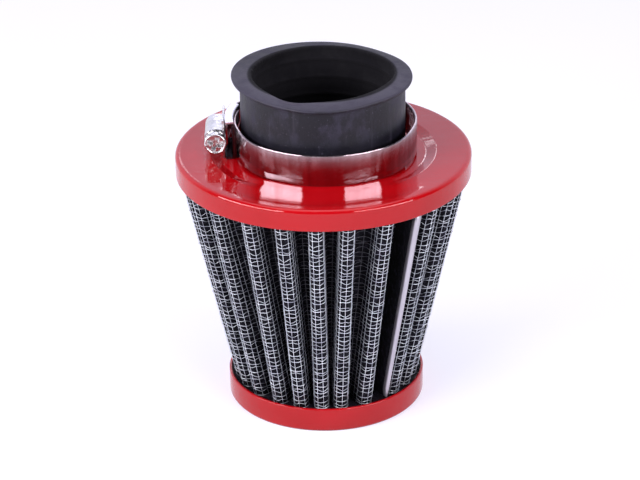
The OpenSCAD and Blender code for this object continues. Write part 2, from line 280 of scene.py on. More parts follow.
def tubes(paths, radius, closed=False):
    """Points and faces of wires: at each point of a path (wires, points, 3), a ring of sides in the
    plane across the path. The ends of an open path are closed by one face each."""
    ahead = np.roll(paths, -1, axis=1)
    back = np.roll(paths, 1, axis=1)
    if not closed:
        ahead[:, -1], back[:, 0] = paths[:, -1], paths[:, 0]
    along = ahead - back
    along /= np.linalg.norm(along, axis=-1, keepdims=True)
    out = paths * [1, 1, 0]
    across = np.cross(along, out)
    across /= np.linalg.norm(across, axis=-1, keepdims=True)
    up = np.cross(along, across)
    turn = (np.arange(WIRE_SIDES) + 0.5) * 2 * np.pi / WIRE_SIDES
    ring = (np.cos(turn)[:, None] * across[:, :, None] + np.sin(turn)[:, None] * up[:, :, None])
    points = paths[:, :, None] + radius * ring
    count, length = paths.shape[:2]
    one = grid_faces(length, WIRE_SIDES, wrap_rows=closed)
    step = length * WIRE_SIDES
    starts = (np.arange(count) * step)[:, None, None]
    faces = [(one[None] + starts).reshape(-1, 4)]
    if not closed:
        end = np.arange(WIRE_SIDES)
        faces.append(end[::-1] + starts[:, 0])
        faces.append(end + step - WIRE_SIDES + starts[:, 0])
    return points, faces


# Finishes

def add_node(tree, kind, inputs, out=0, **settings):
    """Adds a node: its settings first, then the values or sockets of its inputs. Gives one output."""
    node = tree.nodes.new(kind)
    for key, value in settings.items():
        setattr(node, key, value)
    for key, value in inputs.items():
        if isinstance(value, bpy.types.NodeSocket):
            tree.links.new(value, node.inputs[key])
        else:
            node.inputs[key].default_value = value
    return node.outputs[out]


class Wire:
    """One output socket of a finish. Arithmetic on it adds Math nodes."""

    def __init__(self, finish, socket):
        self.finish, self.socket = finish, socket

    def math(self, operation, first, second):
        return self.finish.node("ShaderNodeMath", {0: first, 1: second}, operation=operation)

    def __add__(self, other):
        return self.math("ADD", self, other)

    def __radd__(self, other):
        return self.math("ADD", other, self)

    def __sub__(self, other):
        return self.math("SUBTRACT", self, other)

    def __rsub__(self, other):
        return self.math("SUBTRACT", other, self)

    def __mul__(self, other):
        return self.math("MULTIPLY", self, other)

    def between(self, low, high):
        """Zero below low, one above high, eased between them."""
        return self.finish.node("ShaderNodeMapRange", {"Value": self, "From Min": low, "From Max": high},
                                interpolation_type="SMOOTHSTEP")


class Finish:
    """A material on one Principled shader. Its fixed values go straight on the shader's sockets."""

    def __init__(self, name, color, roughness, **fixed):
        self.material = bpy.data.materials.new(name)
        self.material.use_nodes = True
        self.tree = self.material.node_tree
        self.shader = self.tree.nodes["Principled BSDF"]
        self.shader.inputs["Base Color"].default_value = (*color, 1)
        self.shader.inputs["Roughness"].default_value = roughness
        for socket, value in fixed.items():
            self.shader.inputs[socket.replace("_", " ")].default_value = value
        self.place = self.node("ShaderNodeTexCoord", {}, out="Object")

    def node(self, kind, inputs, out=0, **settings):
        """Adds a node whose inputs are values or wires. Gives one output as a wire."""
        inputs = {key: value.socket if isinstance(value, Wire) else value for key, value in inputs.items()}
        return Wire(self, add_node(self.tree, kind, inputs, out, **settings))

    def feed(self, socket, value):
        self.tree.links.new(value.socket, self.shader.inputs[socket])

    def noise(self, scale, detail, stretch=(1, 1, 1), roughness=0.5):
        """Noise of a number of blotches per metre, stretched by a scale along X, Y and Z."""
        place = self.node("ShaderNodeMapping", {"Vector": self.place, "Scale": stretch})
        return self.node("ShaderNodeTexNoise", {"Vector": place, "Scale": scale, "Detail": detail,
                                                "Roughness": roughness}, out="Fac")

    def mix(self, share, low, high):
        """One colour where share is 0 and another where it is 1."""
        low = low if isinstance(low, Wire) else (*low, 1)
        high = high if isinstance(high, Wire) else (*high, 1)
        return self.node("ShaderNodeMix", {0: share, 6: low, 7: high}, out=2, data_type="RGBA")

    def height(self):
        """Height above the end cap's bottom, in metres."""
        return self.node("ShaderNodeSeparateXYZ", {0: self.place}, out="Z")

    def radius(self):
        """Distance from the filter's axis, in metres."""
        level = self.node("ShaderNodeVectorMath", {0: self.place, 1: (1, 1, 0)}, operation="MULTIPLY")
        return self.node("ShaderNodeVectorMath", {0: level}, out="Value", operation="LENGTH")

    def bump(self, height, distance):
        """Feeds a height field, in metres once times its distance, to the shader's normal."""
        self.feed("Normal", self.node("ShaderNodeBump", {"Height": height, "Distance": distance,
                                                         "Strength": 1.0}, out="Normal"))


def neck_rubber():
    """Moulded black rubber: fine grain, faint bloom, a paler lip, palest at the front, and a bore painted
    near black as painted shade.
    """
    finish = Finish("neck_rubber", (0.013, 0.0115, 0.021), 0.5, Specular_IOR_Level=0.3)
    outside = finish.radius().between((BORE_R + 0.3) * MM, (BORE_R + 1.3) * MM)
    to_back = finish.node("ShaderNodeSeparateXYZ", {0: finish.place}, out="Y").between(-12 * MM, 16 * MM)
    lip = finish.height().between((NECK_TOP - 1.3) * MM, (NECK_TOP - 0.3) * MM) * outside
    bloom = finish.noise(170, 6, (1, 1, 0.7), 0.65).between(0.44, 0.66)
    bloom = bloom * finish.height().between((NECK_TOP - 16) * MM, (NECK_TOP - 6) * MM)
    streaks = finish.noise(420, 3, (1, 1, 0.12)).between(0.56, 0.78)
    specks = finish.noise(1700, 2).between(0.66, 0.74)
    body = finish.mix(bloom, (0.0045, 0.0042, 0.0085), (0.022, 0.0205, 0.036))
    body = finish.mix(streaks * 0.35 + specks * 0.5, body, (0.06, 0.055, 0.08))
    # The lip is paler, most at the front and least at the back.
    body = finish.mix(lip * (0.9 - to_back * 0.75), body, (0.043, 0.0395, 0.06))
    # The bore's near-black colour is painted shade inside the neck.
    finish.feed("Base Color", finish.mix(outside, (0.0015, 0.0013, 0.003), body))
    finish.feed("Roughness", 0.92 - outside * 0.48 + bloom * 0.16 + lip * 0.1)
    finish.bump(finish.noise(3200, 3) + finish.noise(500, 2) * 0.8, 0.00006)
    return finish


def red_paint():
    """Glossy red paint over pressed steel: a clear top, faint orange peel and slow waves."""
    finish = Finish("red_paint", (0.37, 0.002, 0.004), 0.06, Specular_IOR_Level=0.4)
    patches = finish.noise(60, 2).between(0.3, 0.7)
    finish.feed("Base Color", finish.mix(patches, (0.35, 0.001, 0.003), (0.39, 0.002, 0.005)))
    peel = finish.noise(900, 2) * 0.15 + finish.noise(110, 2) + finish.noise(900, 3, (0.1, 1, 1)) * 0.3
    finish.bump(peel, 0.0001)
    return finish


def sealant_finish():
    """Glossy black potting, poured and set, with a slow uneven surface."""
    finish = Finish("sealant", (0.012, 0.011, 0.016), 0.22, Specular_IOR_Level=0.5)
    finish.feed("Roughness", 0.16 + finish.noise(300, 3) * 0.25)
    finish.bump(finish.noise(120, 2), 0.0003)
    return finish


def wire_finish():
    """Bright thin wire, dull here and there, and painted darker down in the valleys as painted shade."""
    finish = Finish("wire", (0.7, 0.7, 0.8), 0.32, Metallic=0.75)
    dull = finish.noise(420, 3).between(0.4, 0.75)
    lean = (CREST_HEAD_R - CREST_FOOT_R) / (PACK_HEAD - PACK_FOOT)
    crest_r = (CREST_FOOT_R - lean * PACK_FOOT) * MM + finish.height() * lean
    # Painted shade: the wire is darkened with its depth below the crest, down in the valleys.
    deep = (crest_r - finish.radius()).between(1.5 * MM, 8 * MM)
    bright = finish.mix(dull, (0.88, 0.93, 1.0), (0.36, 0.38, 0.46))
    finish.feed("Base Color", finish.mix(deep, bright, (0.14, 0.14, 0.16)))
    finish.feed("Roughness", 0.28 + dull * 0.2)
    return finish


def media_finish():
    """Matt black fibrous sheet: short fibres at two scales."""
    finish = Finish("media", (0.008, 0.007, 0.012), 0.92, Specular_IOR_Level=0.15)
    fibres = finish.noise(1500, 5, (1, 1, 0.4), 0.7)
    fluff = fibres.between(0.45, 0.75)
    finish.feed("Base Color", finish.mix(fluff, (0.003, 0.003, 0.005), (0.03, 0.028, 0.045)))
    finish.bump(fibres + finish.noise(5000, 3) * 0.5, 0.0004)
    return finish


def seam_finish():
    """Bright folded strip, finely drawn along its length."""
    finish = Finish("seam_metal", (0.5, 0.48, 0.55), 0.36, Metallic=0.6)
    drawn = finish.noise(900, 3, (1, 1, 0.08))
    finish.feed("Base Color", finish.mix(drawn, (0.4, 0.38, 0.44), (0.58, 0.56, 0.62)))
    finish.bump(drawn, 0.00008)
    return finish


def band_finish():
    """Stainless strip brushed along its length, which smears what it mirrors up and down. It is
    clearest at its foot, where it mirrors the plate."""
    finish = Finish("band_steel", (0.4, 0.37, 0.4), 0.2, Metallic=1.0, Anisotropic=1.0,
                    Anisotropic_Rotation=0.25)
    brushed = finish.noise(700, 3, (1, 1, 0.06), 0.6).between(0.35, 0.7)
    rubbed = finish.height().between((BAND_HEAD - 7) * MM, (BAND_HEAD + 1) * MM)
    finish.feed("Base Color", finish.mix(brushed, (0.33, 0.26, 0.28), (0.44, 0.37, 0.4)))
    finish.feed("Roughness", 0.07 + brushed * 0.02 + rubbed * 0.16)
    return finish


def saddle_finish():
    """Pressed strip under the screw, one steel throughout: painted near black as painted shade, with its
    upper flange painted pale as a painted highlight.
    """
    finish = Finish("saddle_steel", (0.12, 0.115, 0.125), 0.26, Metallic=1.0)
    # Painted highlight: the upper flange is pale.
    flange = finish.height().between((SADDLE_HEAD - 0.7) * MM, (SADDLE_HEAD - 0.2) * MM)
    # Painted shade: the rest of the saddle is near black, with noisy tone.
    painted_shade_colour = finish.mix(finish.noise(500, 3), (0.05, 0.045, 0.055), (0.12, 0.11, 0.125))
    finish.feed("Base Color", finish.mix(flange, painted_shade_colour, (0.72, 0.7, 0.76)))
    return finish


def screw_finish():
    """Zinc plate: bright, with faint blotches."""
    finish = Finish("screw_zinc", (0.82, 0.82, 0.84), 0.16, Metallic=1.0)
    blotch = finish.noise(700, 3)
    finish.feed("Base Color", finish.mix(blotch, (0.45, 0.45, 0.46), (0.78, 0.78, 0.79)))
    finish.feed("Roughness", 0.16 + blotch * 0.24)
    finish.bump(finish.noise(300, 2), 0.0008)
    return finish


RUBBER = neck_rubber()
RED = red_paint()
SEALANT = sealant_finish()
WIRE = wire_finish()
MEDIA = media_finish()
SEAM = seam_finish()
BAND = band_finish()
SADDLE = saddle_finish()
ZINC = screw_finish()


# Rubber neck

RIB_DEPTHS = (3.7, 8.75, 13.8)
RIB_W = 0.5
RIB_SLOPE = 0.15
RELIEF = 0.16
RELIEF_TOP, RELIEF_FOOT = 1.4, 18.3
LAND_TOP, LAND_FOOT = 1.1, 18.5
FLANGE_R = NECK_R + 4
GROOVE_R = NECK_R - 1

LIP_SAG_TURN = -92
HOLE_BENDS = ((1.9, -113, 17), (-0.35, -160, 22), (-0.9, -42, 34), (0.55, 12, 22), (0.45, 88, 26),
              (-0.45, 140, 24))
RIM_BENDS = ((1.0, LIP_SAG_TURN, 22), (1.0, 150, 38), (0.4, -22, 22), (-0.7, 45, 24), (-0.35, -57, 12))
LIP_SAGS = ((0.55, LIP_SAG_TURN, 40), (0.35, 60, 40))
FLASH_PLACES = ((1, 78, 55), (0.5, 170, 30))
FLASH_WAVES = ((17, 0.4), (29, 1.9), (41, 4.4), (67, 2.2), (97, 5.1))
FLASH_OUT = 0.22


def neck_profile():
    """The neck's section: up the bore, which is relieved between its ribs and its two end lands, over the
    lip, down the outside and round the flange. Depths in the bore are from the mouth."""
    relief_r = BORE_R + RELIEF
    bore = [(BORE_R, NECK_FOOT, 0), (BORE_R, NECK_TOP - LAND_FOOT, 0), (relief_r, NECK_TOP - RELIEF_FOOT, 0)]
    for depth in reversed(RIB_DEPTHS):
        low, high = NECK_TOP - depth - RIB_W / 2, NECK_TOP - depth + RIB_W / 2
        bore += [(relief_r, low - RIB_SLOPE, 0), (BORE_R, low, 0.1), (BORE_R, high, 0.1),
                 (relief_r, high + RIB_SLOPE, 0)]
    bore += [(relief_r, NECK_TOP - RELIEF_TOP, 0), (BORE_R, NECK_TOP - LAND_TOP, 0)]
    lip = [(BORE_R, NECK_TOP, 0.45), (LIP_R, NECK_TOP - 0.25, 0.5), (LIP_R, NECK_TOP - LIP_T, 0.5),
           (NECK_R, NECK_TOP - LIP_T - 0.05, 0.9)]
    groove_top, groove_foot = FLOOR_TOP + 0.01, FLOOR_TOP - PLATE_SHEET
    root = [(NECK_R, groove_top, 0), (GROOVE_R, groove_top, 0), (GROOVE_R, groove_foot, 0),
            (FLANGE_R, groove_foot, 0), (FLANGE_R, NECK_FOOT, 0)]
    return spread(rounded(bore + lip + root, 5), 1.2)[::-1]


def rubber_neck():
    """The turned neck, with its lip bent as a soft thin edge bends: the hole's edge is notched at the
    front left and wavy elsewhere, the rim hangs a little at the front, and flash is left on the hole's
    back edge."""
    grid, faces = turned_ring(neck_profile())
    turn, radius = polar(grid)
    z = grid[..., 2]
    soft, edge, fade = 5.0, 2.4, 1.6
    near_lip = np.clip((z - (NECK_TOP - soft)) / soft, 0, 1) ** 2
    at_lip = np.clip((z - (NECK_TOP - edge)) / fade, 0, 1)
    outside = np.clip((radius - NECK_R + 0.4) / fade, 0, 1) * at_lip
    inside = np.clip((NECK_R - 0.6 - radius) / fade, 0, 1) * at_lip
    ragged = sum(np.sin(np.radians(turn) * count + phase) for count, phase in FLASH_WAVES)
    flash = np.clip(ragged - 0.9, 0, 2) * FLASH_OUT * bends(turn, FLASH_PLACES) * inside
    moved = radius + bends(turn, HOLE_BENDS) * inside + bends(turn, RIM_BENDS) * outside
    moved = moved - flash * (z > NECK_TOP - 0.8)
    z = z - bends(turn, LIP_SAGS) * (near_lip * 0.25 + outside * 0.75)
    around = np.radians(turn)
    grid = np.stack([moved * np.cos(around), moved * np.sin(around), z], axis=-1)
    make_piece("neck", grid, faces, RUBBER, ["rubber_neck"])


# Painted ends

ROLL = 1.1
DENTS = ((0.12, -165, 9), (0.12, -142, 6))
DENT_R, DENT_W = 28.5, 1.6
SHALLOW_HALF, SHALLOW_FADE = 54, 24


def top_plate():
    """Pressed plate: sunk floor, slope, flat brim, rolled edge and skirt. In front its dish is shallower:
    it falls a little from the neck, runs level, and climbs to the rim, and the bends in it bound the
    highlights. The slope has slow dents at the left."""
    under, wall_r = PLATE_TOP - PLATE_SHEET, PLATE_R - PLATE_SHEET
    profile = rounded([
        (GROOVE_R, FLOOR_TOP - PLATE_SHEET, 0), (DISH_R + 0.2, FLOOR_TOP - PLATE_SHEET, 2),
        (CREASE_R + 0.2, under, 1.2), (wall_r, under, ROLL - PLATE_SHEET), (wall_r, SKIRT_FOOT + 0.3, 0),
        (wall_r + 0.25, SKIRT_FOOT, 0.2), (PLATE_R, SKIRT_FOOT, 0.3), (PLATE_R, PLATE_TOP, ROLL),
        (CREASE_R, PLATE_TOP, 1.2), (DISH_R, FLOOR_TOP, 2), (GROOVE_R, FLOOR_TOP, 0),
    ])
    profile = spread(profile, 0.6)
    grid, faces = turned_ring(profile)
    turn, radius = polar(grid)
    top = profile[np.argmax(profile.sum(axis=1)):][::-1]
    pressed = np.interp(radius, top[:, 0], top[:, 1])
    fall_to, fall_wide, fall_high = 27, 2.4, 0.13
    rise_from, rise_wide, rise_high = 33.3, 5.3, 0.34
    fall = np.clip((fall_to - radius) / fall_wide, 0, 1)
    rise = np.clip((radius - rise_from) / rise_wide, 0, 1)
    shallow = PLATE_TOP - rise_high * (1 - rise) + fall_high * fall
    inside = eased((radius - NECK_R - 0.6) / 1.2) * eased((PLATE_R - 2.5 - radius) / 2)
    dents = bends(turn, DENTS) * np.exp(-((radius - DENT_R) / DENT_W) ** 2)
    grid[..., 2] += (shallow - pressed) * inside * in_front(turn, SHALLOW_HALF, SHALLOW_FADE) - dents
    make_piece("plate", grid, faces, RED, ["top_plate"])


def end_cap():
    """Pressed pan with a rounded bottom edge."""
    profile = rounded([
        (0, 0, 0), (CAP_R, 0, ROLL), (CAP_R, CAP_H, 0.3), (CAP_R - CAP_SHEET, CAP_H, 0.3),
        (CAP_R - CAP_SHEET, CAP_SHEET, 0.5), (0, CAP_SHEET, 0),
    ])
    points, faces = turned_disc(profile)
    make_piece("cap", points, faces, RED, ["end_cap"])


def lower_sealant():
    """Potting in the cap, which creeps up the cap's wall at its edge."""
    edge, floor_z = CAP_R - CAP_SHEET - 0.03, CAP_SHEET + 0.02
    profile = rounded([
        (0, floor_z, 0), (edge, floor_z, 0.5), (edge, CAP_H - 0.5, 0), (edge - 0.12, CAP_H - 0.5, 0.05),
        (edge - 0.25, PACK_FOOT + 0.75, 0.5), (edge - 0.95, PACK_FOOT + 0.15, 0.4),
        (0, PACK_FOOT + 0.1, 0),
    ])
    points, faces = turned_disc(profile)
    make_piece("cap_potting", points, faces, SEALANT, ["lower_sealant"])


# Pleated pack: a folded loop that all its layers share

FRONT_CRESTS = (-140.5, -122.5, -107.5, -93.5, -80.5, -64, SEAM_TURN, -40.5)
BACK_CRESTS = 16
FIRST_GAP = (360 - (FRONT_CRESTS[-1] - FRONT_CRESTS[0])) / (BACK_CRESTS + 1)
CREST_STEPS, FLANK_STEPS, VALLEY_STEPS = 12, 5, 8
LEAST_VALLEY_R = 0.35
ANY_OFFSET = 9.0


def crest_turns():
    """Turn of each crest: those that the photograph shows, then even ones round the back, each a
    little off."""
    even = FRONT_CRESTS[-1] + FIRST_GAP * np.arange(1, BACK_CRESTS + 1)
    return np.concatenate([FRONT_CRESTS, even + rng.uniform(-0.8, 0.8, BACK_CRESTS)])


def folded_loop():
    """The middle of the media at the pack's foot and head, as (points, 2) loops with the same outward
    direction at both, and how far inside a valley an outward offset may go. Crests and valleys are
    arcs, and the flanks between them are straight. At the seam there is no crest: the floor runs on."""
    turns = crest_turns()
    ends = []
    for crest_r in (CREST_FOOT_R, CREST_HEAD_R):
        points, ways, rooms = [], [], []
        for here, ahead in zip(turns, np.append(turns[1:], turns[0] + 360)):
            half = (ahead - here) / 2
            sine = math.sin(math.radians(half))
            floor_r = crest_r - PLEAT_DEEP + HALF_PACK
            valley_r = max((floor_r * sine - FOLD_R) / (1 - sine), LEAST_VALLEY_R)
            arcs = (
                (here, crest_r - FOLD_R - HALF_PACK, FOLD_R, CREST_STEPS, 1),
                (here + half, floor_r + valley_r, valley_r, VALLEY_STEPS, -1),
            )
            for turn, middle, fold, steps, side in arcs:
                a, t = np.radians(np.linspace(-90, 90, steps + 1))[:, None], math.radians(turn)
                out, over = np.array([math.cos(t), math.sin(t)]), np.array([-math.sin(t), math.cos(t)])
                spoke = side * np.cos(a) * out + np.sin(a) * over
                points.append(middle * out + fold * spoke)
                ways.append(side * spoke)
                rooms.append(np.full(steps + 1, ANY_OFFSET if side > 0 else fold - 0.1))
        ends.append((points, ways, rooms))
    seam = FRONT_CRESTS.index(SEAM_TURN)
    loops = []
    for points, ways, rooms in ends:
        left, right = 2 * seam - 1, 2 * seam + 1
        half = VALLEY_STEPS // 2
        start, end = points[left][half], points[right][half]
        way = np.array([math.cos(math.radians(SEAM_TURN)), math.sin(math.radians(SEAM_TURN))])
        count = half + CREST_STEPS + 1 + half
        floor = start + (end - start) * (np.arange(1, count + 1) / (count + 1))[:, None]
        points[left][half + 1:], points[seam * 2] = floor[:half], floor[half:-half]
        points[right][:half] = floor[-half:]
        for part in (ways[left][half + 1:], ways[seam * 2], ways[right][:half]):
            part[:] = way
        rooms[left][half + 1:], rooms[right][:half] = ANY_OFFSET, ANY_OFFSET
        rows = []
        for part in (points, ways, rooms):
            row = []
            for i, arc in enumerate(part):
                nearest = part[(i + 1) % len(part)][0]
                inner = np.arange(1, FLANK_STEPS + 1) / (FLANK_STEPS + 1)
                inner = inner[:, None] if arc.ndim == 2 else inner
                row += [arc, arc[-1] + (nearest - arc[-1]) * inner]
            rows.append(np.concatenate(row))
        rows[1] /= np.linalg.norm(rows[1], axis=1, keepdims=True)
        loops.append(rows)
    return loops


FOOT_LOOP, HEAD_LOOP = folded_loop()


def on_pack(sample, z, offset):
    """Points on the pack at samples round the loop, heights and offsets outward from the media's middle."""
    sample, z, offset = np.broadcast_arrays(sample, z, offset)
    count = len(FOOT_LOOP[0])
    first = np.floor(sample).astype(int)
    share = (sample - first)[..., None]
    first, second = first % count, (first + 1) % count
    climb = ((z - PACK_FOOT) / (PACK_HEAD - PACK_FOOT))[..., None]

    def blend(row):
        foot, head = FOOT_LOOP[row], HEAD_LOOP[row]
        if foot.ndim == 1:
            foot, head = foot[:, None], head[:, None]
        low = foot[first] * (1 - share) + foot[second] * share
        high = head[first] * (1 - share) + head[second] * share
        return low * (1 - climb) + high * climb

    flat = blend(0) + np.minimum(offset[..., None], blend(2)) * blend(1)
    return np.concatenate([flat, z[..., None]], axis=-1)


def even_samples(count, offset):
    """Samples at equal distances round the loop at half height, for an offset."""
    between = 20
    dense = np.linspace(0, len(FOOT_LOOP[0]), between * len(FOOT_LOOP[0]) + 1)
    path = on_pack(dense, (PACK_FOOT + PACK_HEAD) / 2, offset)
    run = np.concatenate([[0], np.cumsum(np.linalg.norm(np.diff(path, axis=0), axis=1))])
    return np.interp(np.arange(count) / count * run[-1], run, dense)


def filter_media():
    """The media: an outer and an inner folded surface, closed at the foot and the head."""
    sample = np.arange(len(FOOT_LOOP[0]))[None, :]
    rows = np.linspace(PACK_FOOT, PACK_HEAD, 13)[:, None]
    outer = on_pack(sample, rows, MEDIA_T / 2)
    inner = on_pack(sample, rows, -MEDIA_T / 2)[::-1]
    grid = np.concatenate([outer, inner])
    faces = [grid_faces(len(grid), grid.shape[1], wrap_rows=True)]
    make_piece("media", grid, faces, MEDIA, ["filter_media"])


WARPS = 252
WEFT_STEP = 1.27
WEAVE = 0.15
WARP_STRAY, WARP_OFF = 0.08, 0.12
WEFT_LOOSE, WEFT_DRIFT, MOST_DRIFT = 0.07, 0.03, 0.3
WIRE_MIDDLE = MEDIA_T / 2 + LAYER_GAP + WIRE_SHEET / 2


def warp_wires(name, offset, thick, rows, node):
    """Wires that climb the pack, at equal distances round it, each straying a little."""
    samples = even_samples(WARPS, offset)[:, None]
    z = np.linspace(PACK_FOOT + 0.1, PACK_HEAD - 0.1, rows)[None, :]
    stray = np.cumsum(rng.normal(0, WARP_STRAY, (WARPS, rows)), axis=1)
    stray += rng.normal(0, WARP_OFF, (WARPS, 1)) - stray.mean(axis=1, keepdims=True)
    points, faces = tubes(on_pack(samples + stray, z, offset), thick / 2)
    make_piece(name, points, faces, WIRE, [node])


def weft_wires(name, heights, offset, thick, sway, node):
    """Wires that run round the pack, over one warp and under the next. Sway lifts a wire at every
    second warp and lowers it at the others, in opposite step from one wire to the next."""
    marks = even_samples(WARPS, offset)
    ahead = np.append(marks[1:], marks[0] + len(FOOT_LOOP[0]))
    samples = np.stack([marks, (marks + ahead) / 2], axis=1).ravel()[None, :]
    step = np.arange(2 * WARPS)[None, :]
    order = np.arange(len(heights))[:, None]
    swing = np.cos(np.pi * (step / 2 + order))
    loose = rng.normal(0, WEFT_LOOSE, (len(heights), 2 * WARPS))
    drift = np.cumsum(rng.normal(0, WEFT_DRIFT, (len(heights), 2 * WARPS)), axis=1)
    drift -= drift[:, -1:] * step / (2 * WARPS) + drift.mean(axis=1, keepdims=True) / 2
    z = heights[:, None] + sway * swing + loose + np.clip(drift, -MOST_DRIFT, MOST_DRIFT)
    points, faces = tubes(on_pack(samples, z, offset + WEAVE * swing), thick / 2, closed=True)
    make_piece(name, points, faces, WIRE, [node])


def wire_meshes():
    """Outer mesh: level strong wefts, and thinner ones between them that sway between the warps.
    Inner mesh: thicker wires at a wider step."""
    level = np.arange(PACK_FOOT + 0.5, PACK_HEAD - 0.3, 2 * WEFT_STEP)
    warp_wires("mesh_warp", WIRE_MIDDLE, 0.15, 15, "outer_mesh")
    weft_wires("mesh_weft", level, WIRE_MIDDLE, 0.17, 0.1, "outer_mesh")
    weft_wires("mesh_weft_thin", level[:-1] + WEFT_STEP, WIRE_MIDDLE, 0.13, 0.4, "outer_mesh")
    warp_wires("inner_warp", -WIRE_MIDDLE, 0.26, 9, "inner_mesh")
    weft_wires("inner_weft", level, -WIRE_MIDDLE, 0.26, 0.08, "inner_mesh")


def seam_strip():
    """The seam: a bright strip with a round nose over a deep dark fold, both standing on a radius of the
    pack and widening towards the head. A row is one level section; the foot end tapers to a point."""
    foot, head = CAP_H - 0.4, SKIRT_FOOT + 1.5
    deep = PLEAT_DEEP - 2 * HALF_PACK
    turn = math.radians(SEAM_TURN)
    out = np.array([math.cos(turn), math.sin(turn)])
    over = np.array([-math.sin(turn), math.cos(turn)])
    z = np.concatenate([[foot], foot + np.array([0.25, 0.8, 1.6, 3]), np.linspace(foot + 6, head, 10)])
    share = (z - PACK_FOOT) / (PACK_HEAD - PACK_FOOT)
    crest = CREST_FOOT_R + (CREST_HEAD_R - CREST_FOOT_R) * share
    taper = np.clip((z - foot + 0.15) / 3, 0.05, 1) ** 0.5
    nose_points, bulge, back_share = 11, 0.3, 0.8
    angle = np.radians(np.linspace(-90, 90, nose_points))
    section_x = np.concatenate([np.cos(angle), [0, 0]])
    section_y = np.concatenate([np.sin(angle), [back_share, -back_share]])
    at_back = np.concatenate([np.zeros(nose_points), [1, 1]])
    for name, wide_foot, wide_head, nose, back, finish, slot in (
        ("seam_strip", 1.3, 1.95, 0.0, 1.1, SEAM, "seam_metal"),
        ("seam_fold", 1.0, 1.5, 0.6, deep, MEDIA, "sealant"),
    ):
        wide = (wide_foot + (wide_head - wide_foot) * share) * taper
        radial = (crest - nose - wide * bulge)[:, None] + wide[:, None] * bulge * section_x
        radial = radial - at_back * (back - nose)
        across = wide[:, None] / 2 * section_y
        flat = radial[..., None] * out + across[..., None] * over
        grid = np.concatenate([flat, np.broadcast_to(z[:, None, None], flat.shape[:2] + (1,))], axis=-1)
        make_piece(name, grid, capped_faces(*grid.shape[:2]), finish, ["seam_clip"])


# Clamp

BAND_IN_R = 23.87
BAND_T = 0.6
BAND_SHIFT = 0.66
BAND_START = 165
RISE_FROM, RISE_TURN, BAND_TURN = 325, 30, 375
SADDLE_DEEP = 2.5
TAIL_R = BAND_IN_R + SADDLE_DEEP - 0.15
SLOT_STEP, SLOT_W, SLOT_H, SLOT_SLANT = 1.6, 0.8, 4.8, 8
BAND_FLARE = math.radians(1.15)
FLARE_HALF, FLARE_FADE = 75, 30


def band_radius(turn):
    """Inner radius of the band: the ring's, then an eased rise to the tail's."""
    return BAND_IN_R + eased((turn - RISE_FROM) / RISE_TURN) * (TAIL_R - BAND_IN_R)


def clamp_band():
    """The strip: turns along it and heights across it, with cells left out for the slanted slots. It
    flares a little upwards at the front."""
    slot_turn = math.degrees(SLOT_STEP / (TAIL_R + BAND_T))
    slot_half = slot_turn * SLOT_W / SLOT_STEP / 2
    slots = np.arange(BAND_TURN - slot_turn, RISE_FROM, -slot_turn)[::-1]
    plain = np.arange(0, slots[0] - 3 * slot_half, 1.5)
    edges = np.stack([slots - slot_half, slots + slot_half], axis=1).ravel()
    turns = np.concatenate([plain, edges, [BAND_TURN]])
    high = BAND_HEAD - BAND_FOOT
    slot_foot, slot_head = (high - SLOT_H) / 2, (high + SLOT_H) / 2
    rows = np.array([0, 0.12, 0.35, slot_foot, high / 2, slot_head, high - 0.35, high - 0.12, high])
    thin = np.array([0.5, 0.15, 0, 0, 0, 0, 0, 0.15, 0.5]) * BAND_T / 2
    slanted = np.clip((turns - slots[0] + 3 * slot_half) / (2 * slot_half), 0, 1)
    slanted *= np.clip((BAND_TURN - turns) / slot_half, 0, 1)
    lean = (rows - high / 2) * math.tan(math.radians(SLOT_SLANT)) / TAIL_R
    turn = turns + np.degrees(lean)[:, None] * slanted
    keep = np.ones((len(rows) - 1, len(turns) - 1), bool)
    first, slot_rows = len(plain), slice(3, 5)
    keep[slot_rows, first:first + 2 * len(slots):2] = False
    flared = in_front(BAND_START + turn, FLARE_HALF, FLARE_FADE)
    inner_r = band_radius(turn) + BAND_FLARE / 2 * rows[:, None] ** 2 * flared
    around = np.radians(BAND_START + turn)
    z = BAND_FOOT + rows[:, None] + 0 * turn

    def wall(radius):
        return np.stack([BAND_SHIFT + radius * np.cos(around), radius * np.sin(around), z], axis=-1)

    points, faces = sheet_wall(wall(inner_r + BAND_T - thin[:, None]), wall(inner_r + thin[:, None]), keep)
    sharpen(make_piece("band", points, faces, BAND, ["clamp_band"]))


def clamp_saddle():
    """Channel bent round the band: a C section with rounded bends, carried round the clamp's axis."""
    sheet, foot_r = 0.6, BAND_IN_R + BAND_T
    in_r, out_r = foot_r + sheet, foot_r + SADDLE_DEEP
    low, high = SADDLE_FOOT, SADDLE_HEAD
    profile = rounded([
        (foot_r, low, 0.5), (foot_r, high, 0.5), (out_r, high, 0.15), (out_r, high - sheet, 0.15),
        (in_r, high - sheet, 0.3), (in_r, low + sheet, 0.3), (out_r, low + sheet, 0.15), (out_r, low, 0.15),
    ], 4)
    front_y, back_y = 4.2, 8
    turns = np.linspace(math.pi - math.asin(back_y / foot_r), math.pi + math.asin(front_y / foot_r), 17)
    r, turn = profile[:, 0], turns[:, None]
    grid = np.stack([BAND_SHIFT + r * np.cos(turn), r * np.sin(turn), profile[:, 1] + 0 * turn], axis=-1)
    faces = capped_faces(*grid.shape[:2])
    sharpen(make_piece("saddle", grid, faces, SADDLE, ["clamp_saddle"]))


